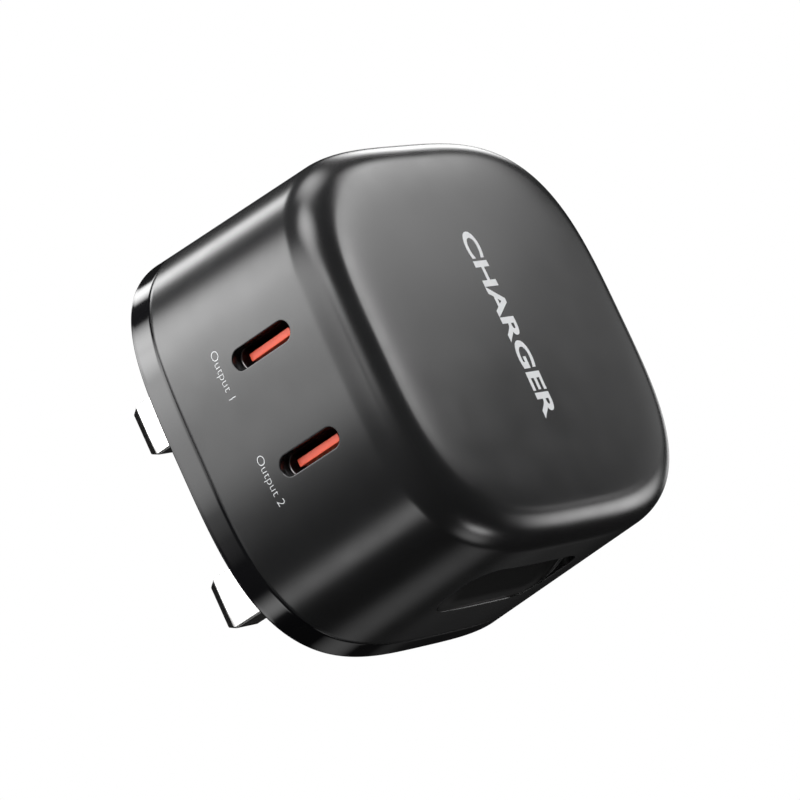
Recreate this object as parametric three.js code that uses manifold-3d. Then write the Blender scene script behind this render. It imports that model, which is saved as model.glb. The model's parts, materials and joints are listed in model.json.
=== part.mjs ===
// A two-port USB-C wall charger with a fixed British three-pin plug.
// Millimetres. X runs along the row of ports, +Y points into the wall along the pins, +Z is up.
// The origin is the middle of the rear face, the one that lies against the wall plate.
import * as THREE from 'three';
import { mergeVertices } from 'three/addons/utils/BufferGeometryUtils.js';
import Module from 'manifold-3d';

const wasm = await Module();
wasm.setup();

// ---------- driving dimensions ----------

// body: a rounded square that narrows towards the front
const HALF_WIDTH = 25.7;
const HALF_HEIGHT = 26.15;
const DEPTH = 28.9;
const SQUARENESS = 3.35; // exponent of the superellipse outline
const DRAFT = 1.15; // how far each side leans in over the whole depth
const FRONT_FILLET = 4.4;
const CROWN = 0.3; // the front wall's bulge
const WALL = 2.0;
const OUTLINE_STEPS = 60;
const FILLET_STEPS = { outer: 5, inner: 2 };

// rear cover: a gloss rim, a flat plate and a skirt that centres it in the front case
const RIM = 3.2;
const REAR_PLATE = 2.2;
const REAR_EDGE = 0.5;
const SKIRT = { wall: 1.0, reach: 2.6, gap: 0.13 };
const SEAM_GAP = 0.05;

// plug pins, as BS 1363 has them
const PIN_PITCH = 22.23;
const POLE_Z = -7.0; // height of the line and neutral pins
const EARTH_Z = POLE_Z + PIN_PITCH;
const POLE = { width: 6.35, height: 3.97, length: 17.7, neck: 0.35 };
const EARTH = { width: 3.97, height: 7.95, length: 22.7, neck: 0 };
const TIP = { side: 0.62, sideLength: 1.2, face: 0.3, faceLength: 0.93 };
const PINS = [[-PIN_PITCH / 2, POLE_Z, POLE], [PIN_PITCH / 2, POLE_Z, POLE], [0, EARTH_Z, EARTH]];
const SLEEVE_LENGTH = 9.5;
const PIN_HEAD = { width: 1.0, near: 2.35, far: 3.35, root: 4.4 };
const FIT_GAP = 0.06;
const RETAINER = {
  near: -2.25, far: -4.1, halfWidth: 18, neckWidth: 6, bottom: -11.5, shoulder: -2.5, top: 20.5,
};
const SPRING = { gauge: 0.3, halfWidth: 3, halfHeight: 1.6, bend: 0.6 };

// USB-C ports on the -Z face
const PORT_X = 6.4;
const PORT_Y = -16.9;
const PORT_HOLE = { length: 9.0, width: 2.6 };
const SHELL = { length: 8.94, width: 3.16, wall: 0.3, mouth: -24.1 };
const TONGUE = { length: 6.5, width: 0.9, tip: -23.8, root: -19.2 };
const CONTACT = { pitch: 0.5, width: 0.26, count: 12, depth: 0.12, tip: -23.2, bar: -18.0 };

// finger grips in the sides: the floor slopes in from the back edge to a lip at the front
const GRIP = {
  back: -10.6, front: -20.6, z: -1.6, halfLength: 9.1, shallow: 0.2, deep: 2.5, corner: 3.4, wall: 1.6,
};

// boards: the main board stands behind the wall plate, the USB board lies across the ports
const BOARD = { rear: -6.0, front: -7.2, inset: 2.9, bottom: -14.6 };
const USB_BOARD = { top: -16.6, bottom: -17.6, halfWidth: 15.5, back: -8.2, front: -24.6 };
const LEDGE = { height: 1.2, reach: 2.0 };
const RIB = { inner: 21.2, outer: 23.8, height: 14, halfWidth: 0.6 };

// transformer: two E cores around a bobbin, its winding about the X axis
const TRANSFORMER = { x: 2, y: -16, z: 2 };
const CORE = { halfLength: 9, halfHeight: 8, halfDepth: 4, window: 6.5, outerLeg: 5.5, centreLeg: 2.25 };

// heat path to the front wall
const SPREADER = { near: -26.1, far: -26.6, inset: 5.0 };

const LOOKS = {
  shell: { color: 0x3b3c3e, roughness: 0.42, metalness: 0.0 },
  gloss: { color: 0x0c0c0d, roughness: 0.06, metalness: 0.0 },
  blackPlastic: { color: 0x141414, roughness: 0.5, metalness: 0.0 },
  nickel: { color: 0xd8d8d6, roughness: 0.2, metalness: 1.0 },
  brass: { color: 0xc8a052, roughness: 0.3, metalness: 1.0 },
  steel: { color: 0xb9bbbd, roughness: 0.3, metalness: 1.0 },
  aluminium: { color: 0xc4c6c8, roughness: 0.35, metalness: 1.0 },
  gold: { color: 0xd9b45a, roughness: 0.25, metalness: 1.0 },
  orange: { color: 0xd9603f, roughness: 0.45, metalness: 0.0 },
  board: { color: 0x1c5a34, roughness: 0.4, metalness: 0.0 },
  chip: { color: 0x1e1f21, roughness: 0.55, metalness: 0.0 },
  ferrite: { color: 0x3f3f42, roughness: 0.6, metalness: 0.0 },
  tape: { color: 0xe2b22a, roughness: 0.35, metalness: 0.0 },
  copper: { color: 0xb5622d, roughness: 0.3, metalness: 1.0 },
  film: { color: 0xd9c23a, roughness: 0.45, metalness: 0.0 },
  ceramic: { color: 0x2d62a8, roughness: 0.4, metalness: 0.0 },
  pad: { color: 0x8fa3b5, roughness: 0.9, metalness: 0.0 },
  sheet: { color: 0xd8d4c6, roughness: 0.5, metalness: 0.0 },
};

// ---------- helpers ----------

const charger = new THREE.Group();

// a closed geometry as a solid that can be joined and cut
function solid(geometry) {
  const bare = geometry.clone();
  bare.deleteAttribute('normal');
  bare.deleteAttribute('uv');
  const merged = mergeVertices(bare, 1e-4);
  const corners = merged.index.array;
  const triangles = [];
  for (let i = 0; i < corners.length; i += 3) {
    const [a, b, c] = [corners[i], corners[i + 1], corners[i + 2]];
    if (a !== b && b !== c && c !== a) triangles.push(a, b, c);
  }
  return new wasm.Manifold(new wasm.Mesh({
    numProp: 3,
    vertProperties: new Float32Array(merged.attributes.position.array),
    triVerts: new Uint32Array(triangles),
  }));
}

// puts a finished solid into the charger as a named piece
function add(name, body, look) {
  const mesh = body.getMesh();
  const geometry = new THREE.BufferGeometry();
  geometry.setAttribute('position', new THREE.BufferAttribute(mesh.vertProperties, 3));
  geometry.setIndex(new THREE.BufferAttribute(mesh.triVerts, 1));
  geometry.computeVertexNormals();
  const piece = new THREE.Mesh(geometry, new THREE.MeshStandardMaterial(LOOKS[look]));
  piece.name = name;
  charger.add(piece);
}

function box(low, high) {
  const [x, y, z] = [0, 1, 2].map((i) => high[i] - low[i]);
  const geometry = new THREE.BoxGeometry(x, y, z);
  geometry.translate(low[0] + x / 2, low[1] + y / 2, low[2] + z / 2);
  return solid(geometry);
}

// extrudes a shape along one axis between two stations.
// The shape is drawn in (x, y) for axis z, in (x, z) for axis y and in (z, y) for axis x.
function prism(shape, axis, from, to, curveSegments = 6) {
  const depth = to - from;
  const geometry = new THREE.ExtrudeGeometry(shape, { depth, bevelEnabled: false, curveSegments });
  if (axis === 'z') geometry.translate(0, 0, from);
  if (axis === 'y') geometry.rotateX(Math.PI / 2).translate(0, to, 0);
  if (axis === 'x') geometry.rotateY(-Math.PI / 2).translate(to, 0, 0);
  return solid(geometry);
}

function polygon(points) {
  return new THREE.Shape(points.map(([x, y]) => new THREE.Vector2(x, y)));
}

function roundedRect(centreX, centreY, width, height, radius) {
  const shape = new THREE.Shape();
  const x = width / 2 - radius;
  const y = height / 2 - radius;
  shape.absarc(centreX + x, centreY + y, radius, 0, Math.PI / 2);
  shape.absarc(centreX - x, centreY + y, radius, Math.PI / 2, Math.PI);
  shape.absarc(centreX - x, centreY - y, radius, Math.PI, 1.5 * Math.PI);
  shape.absarc(centreX + x, centreY - y, radius, 1.5 * Math.PI, 2 * Math.PI);
  return shape;
}

// a turned body about an axis parallel to Y through (x, z); its profile lists [radius, y]
function turned(profile, x, z, steps = 24) {
  const points = profile.map(([radius, y]) => new THREE.Vector2(radius, y));
  return solid(new THREE.LatheGeometry(points, steps).translate(x, 0, z));
}

// the case outline's reach from the centre at an angle, for given half sizes
function outlineReach(angle, halfWidth, halfHeight) {
  const across = Math.abs(Math.cos(angle)) / halfWidth;
  const up = Math.abs(Math.sin(angle)) / halfHeight;
  return (across ** SQUARENESS + up ** SQUARENESS) ** (-1 / SQUARENESS);
}

// a body with the case's rounded-square outline; its profile lists [inset from the rear outline, y],
// runs from the lower end to the upper one, and null stands for a point on the axis
function squareTurned(profile) {
  const points = profile.map(([inset, y]) => new THREE.Vector2(inset === null ? 0 : HALF_WIDTH - inset, y));
  const geometry = new THREE.LatheGeometry(points, OUTLINE_STEPS);
  const place = geometry.attributes.position;
  for (let i = 0; i < place.count; i += 1) {
    const radius = Math.hypot(place.getX(i), place.getZ(i));
    if (radius > 1e-6) {
      const inset = HALF_WIDTH - radius;
      const angle = Math.atan2(place.getZ(i), place.getX(i));
      const reach = outlineReach(angle, HALF_WIDTH - inset, HALF_HEIGHT - inset);
      place.setX(i, reach * Math.cos(angle));
      place.setZ(i, reach * Math.sin(angle));
    }
  }
  return solid(geometry);
}

function draftAt(y) {
  return (DRAFT * -y) / DEPTH;
}

// the rounded front corner at a given depth below the outer skin, from the front wall outwards
function filletProfile(skinDepth, steps) {
  const radius = FRONT_FILLET - skinDepth;
  const centre = DEPTH - FRONT_FILLET;
  const points = [];
  for (let i = 0; i <= steps; i += 1) {
    const angle = (Math.PI / 2) * (1 - i / steps);
    const y = -(centre + radius * Math.sin(angle));
    points.push([draftAt(y) + skinDepth + radius * (1 - Math.cos(angle)), y]);
  }
  return points;
}

// ---------- case ----------

// the finger grip's sloping pocket, or with a skin the block inside the case that backs it
function gripBody(side, skin) {
  const surface = HALF_WIDTH - draftAt(GRIP.back);
  const lip = HALF_WIDTH - draftAt(GRIP.front);
  const outside = skin ? HALF_WIDTH - 1.4 : HALF_WIDTH + 2;
  const slope = polygon([
    [side * outside, GRIP.back + skin / 2],
    [side * (surface - GRIP.shallow - skin), GRIP.back + skin / 2],
    [side * (lip - GRIP.deep - skin), GRIP.front - skin],
    [side * outside, GRIP.front - skin],
  ]);
  const reach = GRIP.halfLength + skin;
  const wedge = prism(slope, 'z', GRIP.z - reach, GRIP.z + reach);
  if (skin) return wedge;
  const middle = (GRIP.back + GRIP.front) / 2;
  const mouth = roundedRect(GRIP.z, middle, 2 * GRIP.halfLength, GRIP.back - GRIP.front, GRIP.corner);
  const [from, to] = side > 0 ? [HALF_WIDTH - 6, HALF_WIDTH + 3] : [-HALF_WIDTH - 3, 6 - HALF_WIDTH];
  return wedge.intersect(prism(mouth, 'x', from, to));
}

function frontCase() {
  const crown = [[null, -DEPTH - CROWN], [HALF_WIDTH * 0.55, -DEPTH - CROWN * 0.7]];
  const seam = -RIM - SEAM_GAP;
  let body = squareTurned([
    ...crown,
    ...filletProfile(0, FILLET_STEPS.outer),
    [draftAt(seam), seam],
    [draftAt(seam) + WALL, seam],
    ...filletProfile(WALL, FILLET_STEPS.inner).reverse(),
    [null, -DEPTH + WALL],
  ]);
  const inside = squareTurned([
    [null, -DEPTH + 0.5],
    [DRAFT + FRONT_FILLET, -DEPTH + 0.5],
    [DRAFT + 1, -DEPTH + FRONT_FILLET],
    [1, seam],
    [null, seam],
  ]);
  for (const side of [-1, 1]) {
    const ledgeInner = side * (USB_BOARD.halfWidth - LEDGE.reach);
    const ledge = box(
      [Math.min(ledgeInner, side * HALF_WIDTH), USB_BOARD.front, USB_BOARD.bottom - LEDGE.height],
      [Math.max(ledgeInner, side * HALF_WIDTH), USB_BOARD.back, USB_BOARD.bottom],
    );
    body = body.add(ledge.intersect(inside));
    const [near, far] = [side * RIB.inner, side * RIB.outer].sort((a, b) => a - b);
    const rib = box(
      [near, -DEPTH + 1, RIB.height - RIB.halfWidth],
      [far, BOARD.front - SEAM_GAP, RIB.height + RIB.halfWidth],
    );
    body = body.add(rib.intersect(inside));
    body = body.add(gripBody(side, GRIP.wall).intersect(inside)).subtract(gripBody(side, 0));
  }
  for (const side of [-1, 1]) {
    const hole = roundedRect(side * PORT_X, PORT_Y, PORT_HOLE.width, PORT_HOLE.length, PORT_HOLE.width / 2);
    body = body.subtract(prism(hole, 'z', -HALF_HEIGHT - 1, -HALF_HEIGHT + 6, 4));
    const seat = stadium(side, 2 * FIT_GAP);
    body = body.subtract(prism(seat, 'z', SHELL.mouth - FIT_GAP, -HALF_HEIGHT + 6, 3));
  }
  return body;
}

function rearCover() {
  const skirtOuter = draftAt(-RIM) + WALL + SKIRT.gap;
  const skirtInner = skirtOuter + SKIRT.wall;
  let body = squareTurned([
    [null, -REAR_PLATE],
    [skirtInner, -REAR_PLATE],
    [skirtInner, -RIM - SKIRT.reach],
    [skirtOuter, -RIM - SKIRT.reach],
    [skirtOuter, -RIM],
    [draftAt(-RIM), -RIM],
    [draftAt(-REAR_EDGE), -REAR_EDGE],
    [REAR_EDGE * 0.3, -REAR_EDGE * 0.3],
    [REAR_EDGE, 0],
    [null, 0],
  ]);
  for (const [x, z, size] of PINS) {
    const [w, h] = [size.width / 2 + FIT_GAP, size.height / 2 + FIT_GAP];
    body = body.subtract(box([x - w, -REAR_PLATE - 1, z - h], [x + w, 1, z + h]));
  }
  return body;
}

// ---------- plug pins ----------

// one side of a pin seen flat: half its outline, mirrored, with the neck, the tip and an optional head
function pinOutline(half, pin, cut, cutLength, head) {
  const neck = half - pin.neck;
  const right = [
    [neck, -PIN_HEAD.root],
    [neck, -PIN_HEAD.far],
    [neck + head, -PIN_HEAD.far],
    [neck + head, -PIN_HEAD.near],
    [neck, -PIN_HEAD.near],
    [neck, SLEEVE_LENGTH],
    [half, SLEEVE_LENGTH],
    [half, pin.length - cutLength],
    [half - cut, pin.length],
  ].filter((point, i, all) => i === 0 || Math.hypot(point[0] - all[i - 1][0], point[1] - all[i - 1][1]) > 0);
  return polygon([...right, ...right.map(([u, v]) => [-u, v]).reverse()]);
}

function pin(x, z, size) {
  const flat = pinOutline(size.width / 2, size, TIP.side, TIP.sideLength, PIN_HEAD.width);
  const edge = pinOutline(size.height / 2, size, TIP.face, TIP.faceLength, 0);
  const wide = prism(flat, 'z', -size.height / 2, size.height / 2);
  const deep = prism(edge, 'x', -size.width, size.width);
  return wide.intersect(deep).translate([x, 0, z]);
}

function sleeve(x) {
  const outer = roundedRect(x, POLE_Z, POLE.width, POLE.height, 0.3);
  const [w, h] = [POLE.width / 2 - POLE.neck, POLE.height / 2 - POLE.neck];
  const bore = box([x - w, -REAR_PLATE - 1, POLE_Z - h], [x + w, SLEEVE_LENGTH + 1, POLE_Z + h]);
  return prism(outer, 'y', -REAR_PLATE, SLEEVE_LENGTH, 2).subtract(bore);
}

function pinRetainer() {
  const { near, far, halfWidth, neckWidth, bottom, shoulder, top } = RETAINER;
  const right = [
    [halfWidth, bottom],
    [halfWidth, shoulder],
    [neckWidth, shoulder + neckWidth],
    [neckWidth, top],
  ];
  let body = prism(polygon([...right, ...right.map(([x, z]) => [-x, z]).reverse()]), 'y', far, near);
  for (const [x, z, size] of PINS) {
    const [w, h] = [size.width / 2 - size.neck + FIT_GAP, size.height / 2 + FIT_GAP];
    body = body.subtract(box([x - w, far - 1, z - h], [x + w, near + 1, z + h]));
    const head = w + PIN_HEAD.width;
    body = body.subtract(box([x - head, -PIN_HEAD.far - FIT_GAP, z - h], [x + head, near + 1, z + h]));
  }
  return body;
}

// a leaf spring folded like a hairpin between a pin's root and the main board
function contactSpring(side) {
  const x = (side * PIN_PITCH) / 2;
  const { gauge, halfWidth, halfHeight, bend } = SPRING;
  const [foot, top] = [BOARD.rear, -PIN_HEAD.root];
  const leaf = polygon([
    [x - halfWidth, foot],
    [x + halfWidth, foot],
    [x + halfWidth, foot + gauge],
    [x - halfWidth + bend, foot + gauge],
    [x - halfWidth + bend, top - gauge],
    [x + halfWidth - bend, top - gauge],
    [x + halfWidth - bend, top],
    [x - halfWidth, top - gauge / 2],
  ]);
  return prism(leaf, 'z', POLE_Z - halfHeight, POLE_Z + halfHeight);
}

// ---------- boards ----------

function mainBoard() {
  const blank = squareTurned([
    [null, BOARD.front],
    [BOARD.inset, BOARD.front],
    [BOARD.inset, BOARD.rear],
    [null, BOARD.rear],
  ]);
  return blank.subtract(box([-30, -8, -30], [30, -5, BOARD.bottom]));
}

function usbBoard() {
  const middle = (USB_BOARD.back + USB_BOARD.front) / 2;
  const length = USB_BOARD.back - USB_BOARD.front;
  const outline = roundedRect(0, middle, 2 * USB_BOARD.halfWidth, length, 1.2);
  return prism(outline, 'z', USB_BOARD.bottom, USB_BOARD.top, 2);
}

// row of bent pins from the main board down to the USB board
function boardHeader() {
  const front = BOARD.front;
  let body = box([3, front - 2.4, -14.4], [13, front, -12.2]);
  for (let i = 0; i < 5; i += 1) {
    const x = 4 + 2 * i;
    body = body.add(box([x - 0.25, front - 1.9, USB_BOARD.top], [x + 0.25, front - 1.4, -14.2]));
  }
  return body;
}

// ---------- USB-C receptacles ----------

function stadium(side, growth) {
  const [width, length] = [SHELL.width + growth, SHELL.length + growth];
  return roundedRect(side * PORT_X, PORT_Y, width, length, width / 2);
}

function usbShell(side) {
  const outer = prism(stadium(side, 0), 'z', SHELL.mouth, USB_BOARD.bottom, 3);
  return outer.subtract(prism(stadium(side, -2 * SHELL.wall), 'z', -HALF_HEIGHT, 0, 3));
}

function usbContacts(side) {
  const x = side * PORT_X;
  const half = TONGUE.width / 2;
  const comb = box([x - half, PORT_Y - 3, CONTACT.bar], [x + half, PORT_Y + 3, USB_BOARD.bottom - 0.05]);
  let body = comb;
  for (const face of [-1, 1]) {
    const [near, far] = [x + face * (half - CONTACT.depth), x + face * half].sort((a, b) => a - b);
    for (let i = 0; i < CONTACT.count; i += 1) {
      const y = PORT_Y + (i - (CONTACT.count - 1) / 2) * CONTACT.pitch;
      const [y0, y1] = [y - CONTACT.width / 2, y + CONTACT.width / 2];
      body = body.add(box([near, y0, CONTACT.tip], [far, y1, CONTACT.bar + 0.2]));
    }
  }
  return body;
}

function usbTongue(side) {
  const x = side * PORT_X;
  const base = prism(stadium(side, -2 * SHELL.wall - 0.1), 'z', TONGUE.root, CONTACT.bar, 3);
  const blade = roundedRect(x, PORT_Y, TONGUE.width, TONGUE.length, 0.2);
  return base.add(prism(blade, 'z', TONGUE.tip, CONTACT.bar, 2)).subtract(usbContacts(side));
}

// a flat leadless chip on the USB board's upper face
function pdController(side) {
  const x = side * 11.2;
  return box([x - 2, -14.5, USB_BOARD.top], [x + 2, -10.5, USB_BOARD.top + 0.8]);
}

// ---------- parts on the main board ----------

// an electrolytic can standing on the board: crimp groove near the base, bevelled top
function can(x, z, radius, top) {
  const base = BOARD.front;
  return turned([
    [0, top],
    [radius - 0.5, top],
    [radius, top + 0.5],
    [radius, base - 2.2],
    [radius - 0.4, base - 1.7],
    [radius, base - 1.2],
    [radius, base],
    [0, base],
  ], x, z);
}

// a round disc on two legs, its flat sides facing up and down
function disc(x, z, radius, thickness) {
  const centre = BOARD.front - 0.5 - radius;
  const outline = new THREE.Shape();
  outline.absarc(x, centre, radius, 0, 2 * Math.PI);
  let body = prism(outline, 'z', z - thickness / 2, z + thickness / 2, 10);
  for (const leg of [-1, 1]) {
    const at = x + leg * radius * 0.5;
    body = body.add(box([at - 0.3, centre, z - 0.3], [at + 0.3, BOARD.front, z + 0.3]));
  }
  return body;
}

// a flat chip package with legs along two sides; it sits on the board's front or its rear
function chip(x, z, width, height, thickness, onRear) {
  const out = onRear ? 1 : -1;
  const skin = onRear ? BOARD.rear : BOARD.front;
  const layer = (from, to) => [skin + out * from, skin + out * to].sort((a, b) => a - b);
  const [y0, y1] = layer(0.1, thickness);
  let body = box([x - width / 2, y0, z - height / 2], [x + width / 2, y1, z + height / 2]);
  for (const side of [-1, 1]) {
    for (const at of [-1, 0, 1]) {
      const [l0, l1] = layer(0, 0.4);
      const [x0, x1] = [side * (width / 2 - 0.3), side * (width / 2 + 0.6)].sort((a, b) => a - b);
      const legZ = z + at * height * 0.33;
      body = body.add(box([x + x0, l0, legZ - 0.3], [x + x1, l1, legZ + 0.3]));
    }
  }
  return body;
}

function softBox(x0, x1, z0, z1, top) {
  const outline = roundedRect((x0 + x1) / 2, (z0 + z1) / 2, x1 - x0, z1 - z0, 0.8);
  return prism(outline, 'y', top, BOARD.front, 2);
}

// ring core of the common mode choke, its axis along X
const CHOKE = { x: -15, y: -13.7, z: 2, inner: 2.6, outer: 5.3, half: 2.2, wire: 1.05 };

function ring(growth) {
  const [inner, outer, half] = [CHOKE.inner - growth, CHOKE.outer + growth, CHOKE.half + growth];
  const bevel = 0.6;
  const profile = [
    [inner, -half + bevel], [inner + bevel, -half], [outer - bevel, -half], [outer, -half + bevel],
    [outer, half - bevel], [outer - bevel, half], [inner + bevel, half], [inner, half - bevel],
    [inner, -half + bevel],
  ].map(([radius, y]) => new THREE.Vector2(radius, y));
  const geometry = new THREE.LatheGeometry(profile, 20);
  return solid(geometry.rotateZ(Math.PI / 2).translate(CHOKE.x, CHOKE.y, CHOKE.z));
}

function chokeWinding(side) {
  const [z0, z1] = side > 0 ? [CHOKE.z + 1.3, CHOKE.z + 9] : [CHOKE.z - 9, CHOKE.z - 1.3];
  const sector = box([CHOKE.x - 9, CHOKE.y - 9, z0], [CHOKE.x + 9, CHOKE.y + 9, z1]);
  return ring(CHOKE.wire).subtract(ring(0.03)).intersect(sector);
}

// ---------- transformer ----------

function coreHalf(side) {
  const { halfLength, halfHeight, halfDepth, window, outerLeg, centreLeg } = CORE;
  const gap = 0.05;
  const outline = [
    [halfLength, -halfHeight], [gap, -halfHeight], [gap, -outerLeg], [window, -outerLeg],
    [window, -centreLeg], [gap, -centreLeg], [gap, centreLeg], [window, centreLeg],
    [window, outerLeg], [gap, outerLeg], [gap, halfHeight], [halfLength, halfHeight],
  ].map(([x, z]) => [TRANSFORMER.x + side * x, TRANSFORMER.z + z]);
  return prism(polygon(outline), 'y', TRANSFORMER.y - halfDepth, TRANSFORMER.y + halfDepth);
}

function bobbin() {
  const { x, y, z } = TRANSFORMER;
  const flangeIn = 5.7;
  const flangeOut = CORE.window - 0.1;
  let body = box([x - flangeOut, y - 4.9, z - 3.1], [x + flangeOut, y + 4.9, z + 3.1]);
  for (const side of [-1, 1]) {
    const [x0, x1] = [x + side * flangeIn, x + side * flangeOut].sort((a, b) => a - b);
    body = body.add(box([x0, y - 8, z - 5.4], [x1, BOARD.front, z + 5.4]));
    const [r0, r1] = [x + side * flangeIn, x + side * (CORE.halfLength - 0.6)].sort((a, b) => a - b);
    body = body.add(box([r0, BOARD.front - 1.8, z - 7.5], [r1, BOARD.front, z + 7.5]));
  }
  const bore = [CORE.halfDepth + 0.12, CORE.centreLeg + 0.12];
  return body.subtract(box([x - 9, y - bore[0], z - bore[1]], [x + 9, y + bore[0], z + bore[1]]));
}

function winding() {
  const { x, y, z } = TRANSFORMER;
  const outer = prism(roundedRect(z, y, 10.4, 14.4, 2), 'x', x - 5.6, x + 5.6, 2);
  return outer.subtract(box([x - 9, y - 4.95, z - 3.15], [x + 9, y + 4.95, z + 3.15]));
}

// ---------- assembly ----------

add('front_case', frontCase(), 'shell');
add('rear_cover', rearCover(), 'gloss');

add('line_pin', pin(PIN_PITCH / 2, POLE_Z, POLE), 'nickel');
add('neutral_pin', pin(-PIN_PITCH / 2, POLE_Z, POLE), 'nickel');
add('earth_pin', pin(0, EARTH_Z, EARTH), 'blackPlastic');
add('line_pin_sleeve', sleeve(PIN_PITCH / 2), 'blackPlastic');
add('neutral_pin_sleeve', sleeve(-PIN_PITCH / 2), 'blackPlastic');
add('pin_retainer', pinRetainer(), 'blackPlastic');
add('line_contact_spring', contactSpring(1), 'brass');
add('neutral_contact_spring', contactSpring(-1), 'brass');

add('main_board', mainBoard(), 'board');
add('usb_board', usbBoard(), 'board');
add('board_header', boardHeader(), 'blackPlastic');

for (const [number, side] of [[1, -1], [2, 1]]) {
  add(`usb_c_shell_${number}`, usbShell(side), 'steel');
  add(`usb_c_tongue_${number}`, usbTongue(side), 'orange');
  add(`usb_c_contacts_${number}`, usbContacts(side), 'gold');
  add(`pd_controller_${number}`, pdController(side), 'chip');
}

add('fuse', can(-7.6, -10.8, 2.8, -15.2), 'chip');
add('varistor', disc(-15.8, -13, 3.5, 3.0), 'ceramic');
add('x_capacitor', softBox(-19.6, -11, -11.0, -5.4, -18.5), 'film');
add('choke_core', ring(0), 'ferrite');
add('choke_winding_1', chokeWinding(1), 'copper');
add('choke_winding_2', chokeWinding(-1), 'copper');
add('bridge_rectifier', chip(-0.6, -10.7, 4.4, 4.6, 1.6, false), 'chip');
add('bulk_capacitor_1', can(-13.5, 15, 5, -24.2), 'blackPlastic');
add('bulk_capacitor_2', can(-2.8, 16.4, 5, -24.2), 'blackPlastic');
add('supply_capacitor', can(5.6, 15.4, 2.5, -18), 'blackPlastic');
add('primary_controller', chip(-10, 8, 3.9, 5.0, 1.4, true), 'chip');
add('gan_switch', chip(0, 6, 5.0, 6.0, 0.9, true), 'chip');
add('sync_rectifier', chip(10, 8, 4.9, 5.9, 1.0, true), 'chip');

add('transformer_core_1', coreHalf(-1), 'ferrite');
add('transformer_core_2', coreHalf(1), 'ferrite');
add('transformer_bobbin', bobbin(), 'blackPlastic');
add('transformer_winding', winding(), 'tape');
add('y_capacitor', disc(13.4, -9.8, 3.3, 2.6), 'ceramic');
add('optocoupler', chip(5.8, -10.0, 2.6, 3.4, 2.2, false), 'chip');

add('output_inductor', softBox(12, 19.8, -6.2, 1.8, -13.8), 'ferrite');
add('output_capacitor_1', can(16, 7.2, 4, -19.5), 'aluminium');
add('output_capacitor_2', can(13.6, 16.0, 4, -19.5), 'aluminium');

add('insulation_sheet', box([-17, -24.4, -15.5], [17, -11.2, -15.15]), 'sheet');
add('thermal_pad', box([-5, SPREADER.near, -4.5], [9, TRANSFORMER.y - 8, 8.5]), 'pad');
add('heat_spreader', squareTurned([
  [null, SPREADER.far],
  [SPREADER.inset, SPREADER.far],
  [SPREADER.inset, SPREADER.near],
  [null, SPREADER.near],
]), 'aluminium');

export default charger;
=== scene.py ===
"""A two-port USB-C wall charger with a fixed British plug: its looks, camera and light.

Mesh code works in millimetres in the frame's axes: X along the row of ports, +Y into the wall,
+Z up. mesh_object() turns the result into metres.
"""
import json
import math

import bmesh
import bpy
import numpy as np
from mathutils import Matrix, Vector


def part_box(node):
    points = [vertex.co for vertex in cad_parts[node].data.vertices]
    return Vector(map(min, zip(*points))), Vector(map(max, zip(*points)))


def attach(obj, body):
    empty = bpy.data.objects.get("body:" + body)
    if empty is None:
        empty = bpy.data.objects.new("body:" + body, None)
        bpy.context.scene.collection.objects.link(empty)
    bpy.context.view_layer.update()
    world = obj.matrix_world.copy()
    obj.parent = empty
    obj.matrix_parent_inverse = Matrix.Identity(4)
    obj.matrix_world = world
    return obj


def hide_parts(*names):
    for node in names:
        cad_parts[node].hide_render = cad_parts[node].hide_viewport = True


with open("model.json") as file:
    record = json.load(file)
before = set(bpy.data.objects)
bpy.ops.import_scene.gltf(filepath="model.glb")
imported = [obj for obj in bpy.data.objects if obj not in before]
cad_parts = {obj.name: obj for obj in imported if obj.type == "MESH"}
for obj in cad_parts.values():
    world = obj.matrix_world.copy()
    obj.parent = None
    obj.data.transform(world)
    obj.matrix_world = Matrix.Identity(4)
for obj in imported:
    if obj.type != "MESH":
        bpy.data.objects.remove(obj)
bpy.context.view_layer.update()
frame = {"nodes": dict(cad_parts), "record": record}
MM = 0.001


def node_box(node):
    """A CAD node's lowest and highest corner in millimetres."""
    low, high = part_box(node)
    return np.array(low) / MM, np.array(high) / MM


# ---------- driving dimensions, millimetres ----------

COVER_LOW, COVER_HIGH = node_box("rear_cover")
CASE_LOW, CASE_HIGH = node_box("front_case")
HALF_WIDTH = COVER_HIGH[0]
HALF_HEIGHT = COVER_HIGH[2]
SEAM_Y = CASE_HIGH[1]
SQUARENESS = 3.35  # power of the superellipse that gives the outline
DRAFT = 1.15  # how far the sides come in from the wall plate to the front
FRONT_FILLET = 4.4
CAD_CROWN = 0.3  # how far the front of the CAD node bulges
CROWN = 0.26  # the bulge drawn here, which stays inside the CAD node's
DEPTH = -CASE_LOW[1] - CAD_CROWN
WALL = 2.0
SIDE_FRONT = -(DEPTH - FRONT_FILLET)  # where the straight side ends and the front fillet starts
SHOULDER = 0.26  # how far the rim of the front falls back before it meets the fillet
SHOULDER_POWER = 12  # a high power keeps that fall close to the rim
SHOULDER_TILT = math.radians(8.6)  # slope at which the face meets the fillet
FILLET_RADIUS = (FRONT_FILLET - SHOULDER) / math.cos(SHOULDER_TILT)
FACE_INSET = DRAFT + FILLET_RADIUS * (1 - math.sin(SHOULDER_TILT))
COLUMNS = 360  # points round the body
OUTLINE_SAMPLES = 7200

GRIP_BACK, GRIP_FRONT, GRIP_Z, GRIP_HALF = -10.6, -20.6, -1.6, 9.1
GRIP_SHALLOW, GRIP_DEEP, GRIP_CORNER = 0.2, 2.5, 3.4
GRIP_CURVE = 1.8
GRIP_LIP, GRIP_HOLLOW = 0.1, 0.35  # radii of the edge and of the corner at the floor
GRIP_WALL = 1.6  # the shell's thickness behind a grip

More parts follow.
